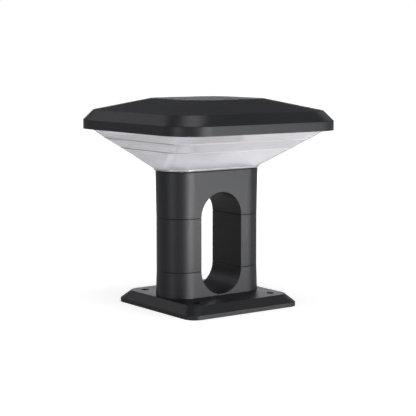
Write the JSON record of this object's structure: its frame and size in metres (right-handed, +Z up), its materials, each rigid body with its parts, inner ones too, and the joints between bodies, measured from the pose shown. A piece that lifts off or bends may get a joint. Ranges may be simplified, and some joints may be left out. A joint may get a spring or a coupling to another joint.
{
  "type": "gate pillar light",
  "caption": "Square post-top light: bolted base plate, oblong column with a tall slot, stepped clear diffuser and a broad hipped roof that lifts off.",
  "frame": {"origin": "middle of the base plate's underside, where it rests on the pillar", "axes": "+Z up; +X along the column's wide side; the slot passes through along Y"},
  "size_m": [0.3, 0.3, 0.3147],
  "materials": {
    "black_powder_coat": "satin black powder coat with a fine grain",
    "frosted_clear": "lightly frosted clear moulding",
    "black_rubber": "matte black seal",
    "zinc_sheet": "zinc-plated sheet",
    "stainless": "bright fastener steel",
    "brass": "bare brass",
    "white_nylon": "natural nylon",
    "grey_plastic": "moulded housing",
    "green_yellow_pvc": "earth insulation",
    "black_pvc": "round sheath",
    "white_pvc": "round sheath",
    "bare_aluminium": "milled plate",
    "grey_pad": "soft thermal pad",
    "white_board": "white solder mask",
    "led_phosphor": "yellow phosphor gel",
    "white_enamel": "white enamel sheet"
  },
  "bodies": {
    "stand": {"base_plate": "black_powder_coat", "base_gasket": "black_rubber", "base_cover": "zinc_sheet", "base_cover_screws": "stainless", "cable_grommet": "black_rubber", "terminal_block": "white_nylon", "terminal_screws": "brass", "terminal_fixing_screws": "stainless", "earth_tag": "brass", "earth_screw": "brass", "earth_lead": "green_yellow_pvc", "lower_arch": "black_powder_coat", "leg_left": "black_powder_coat", "leg_right": "black_powder_coat", "upper_arch": "black_powder_coat", "tie_rods": "stainless", "tie_rod_washers": "stainless", "tie_rod_nuts": "stainless", "driver_case": "grey_plastic", "driver_lid": "grey_plastic", "driver_screws": "stainless", "supply_lead": "black_pvc", "led_lead": "white_pvc", "lead_grommet": "black_rubber", "column_gasket": "black_rubber", "diffuser": "frosted_clear", "clamp_plate": "bare_aluminium", "clamp_screws": "stainless", "thermal_pad": "grey_pad", "led_board": "white_board", "led_chips": "led_phosphor", "led_connector": "white_nylon", "led_board_screws": "stainless", "roof_screws": "stainless"},
    "roof_cap": {"roof": "black_powder_coat", "roof_gasket": "black_rubber", "roof_reflector": "white_enamel", "reflector_screws": "stainless"}
  },
  "joints": [
    {"name": "roof_lift", "type": "slide", "parent": "stand", "child": "roof_cap", "axis": [0, 0, 1], "range_m": [0, 0.1]}
  ]
}
